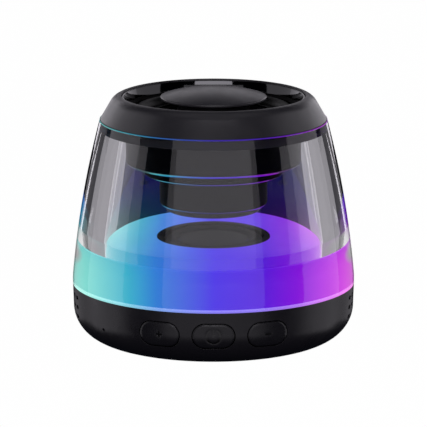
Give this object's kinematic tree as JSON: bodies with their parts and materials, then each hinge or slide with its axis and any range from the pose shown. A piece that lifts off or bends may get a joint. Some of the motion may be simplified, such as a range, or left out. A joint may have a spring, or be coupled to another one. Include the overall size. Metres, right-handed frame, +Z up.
{
  "type": "portable bluetooth speaker",
  "caption": "Round tapered tabletop speaker: black base with side buttons, clear lit body over a glowing floor, black ring holding an upward-facing driver.",
  "frame": {"origin": "centre of the resting plane, under the foot ring", "axes": "+Z up along the body's axis; the buttons face -Y; the charging port faces +Y; +X is to the right seen from the front"},
  "size_m": [0.08, 0.08, 0.0728],
  "materials": {
    "base_black": "semi-gloss moulded, fine grain",
    "button_black": "semi-gloss moulded",
    "mark_gloss": "gloss",
    "ring_black": "satin",
    "bezel_gloss": "polished",
    "driver_black": "gloss",
    "cone_black": "gloss",
    "dome_grey": "satin",
    "rubber_gloss": "gloss",
    "rubber_black": "matt",
    "rubber_white": "matt",
    "foam_black": "foam",
    "clear_acrylic": "polished clear acrylic",
    "clear_seal": "clear",
    "lit_diffuser": "opal, lit from below",
    "lit_ring": "clear edge, lit",
    "deck_white": "matt white",
    "led_board_white": "white solder mask",
    "lamp_white": "LED package",
    "board_green": "green solder mask",
    "chip_black": "moulded",
    "battery_wrap": "foil pouch",
    "screw_steel": "black zinc",
    "usb_steel": "stamped",
    "yoke_steel": "black plated",
    "magnet_ferrite": "sintered ferrite",
    "former_aluminium": "foil",
    "coil_copper": "enamelled copper wire",
    "spider_cloth": "resin-dipped cloth",
    "lead_black": "insulated wire"
  },
  "bodies": {
    "speaker": {"base_casing": "base_black", "base_cover": "base_black", "foot_ring": "rubber_black", "cover_screws": "screw_steel", "board_screws": "screw_steel", "deck_screws": "screw_steel", "battery": "battery_wrap", "battery_pad": "foam_black", "main_board": "board_green", "board_chips": "chip_black", "usb_shell": "usb_steel", "usb_tongue": "chip_black", "port_bezel": "base_black", "microphone": "usb_steel", "mic_boot": "rubber_black", "button_switches": "usb_steel", "deck_plate": "deck_white", "led_board": "led_board_white", "led_lamps": "lamp_white", "light_ring": "lit_ring", "light_diffuser": "lit_diffuser", "lead_grommet": "rubber_white", "driver_leads": "lead_black", "radiator_frame": "driver_black", "radiator_surround": "rubber_black", "clear_shell": "clear_acrylic", "upper_seal": "clear_seal", "top_ring": "ring_black", "bezel_ring": "bezel_gloss", "surround_clamp": "driver_black", "driver_basket": "driver_black", "motor_can": "driver_black", "yoke": "yoke_steel", "magnet": "magnet_ferrite", "top_plate": "yoke_steel", "spider": "spider_cloth", "surround": "rubber_gloss", "lead_terminal": "board_green"},
    "driver_cone": {"cone": "cone_black", "dome_cap": "dome_grey", "coil_former": "former_aluminium", "coil_winding": "coil_copper"},
    "bass_radiator": {"radiator_plate": "driver_black"},
    "button_plus_body": {"button_plus": "button_black", "mark_plus": "mark_gloss", "plunger_plus": "chip_black"},
    "button_power_body": {"button_power": "button_black", "mark_power": "mark_gloss", "plunger_power": "chip_black"},
    "button_minus_body": {"button_minus": "button_black", "mark_minus": "mark_gloss", "plunger_minus": "chip_black"}
  },
  "joints": [
    {"name": "driver_stroke", "type": "slide", "parent": "speaker", "child": "driver_cone", "axis": [0, 0, 1], "range_m": [-0.0015, 0.0015], "stiffness_N_per_m": 1500, "deforming": ["surround", "spider"]},
    {"name": "radiator_stroke", "type": "slide", "parent": "speaker", "child": "bass_radiator", "axis": [0, 0, 1], "range_m": [-0.001, 0.001], "stiffness_N_per_m": 700, "deforming": ["radiator_surround"]},
    {"name": "press_plus", "type": "slide", "parent": "speaker", "child": "button_plus_body", "axis": [0.3778, 0.9259, 0], "range_m": [0, 0.0004], "stiffness_N_per_m": 3000},
    {"name": "press_power", "type": "slide", "parent": "speaker", "child": "button_power_body", "axis": [0, 1, 0], "range_m": [0, 0.0004], "stiffness_N_per_m": 3000},
    {"name": "press_minus", "type": "slide", "parent": "speaker", "child": "button_minus_body", "axis": [-0.3778, 0.9259, 0], "range_m": [0, 0.0004], "stiffness_N_per_m": 3000}
  ]
}
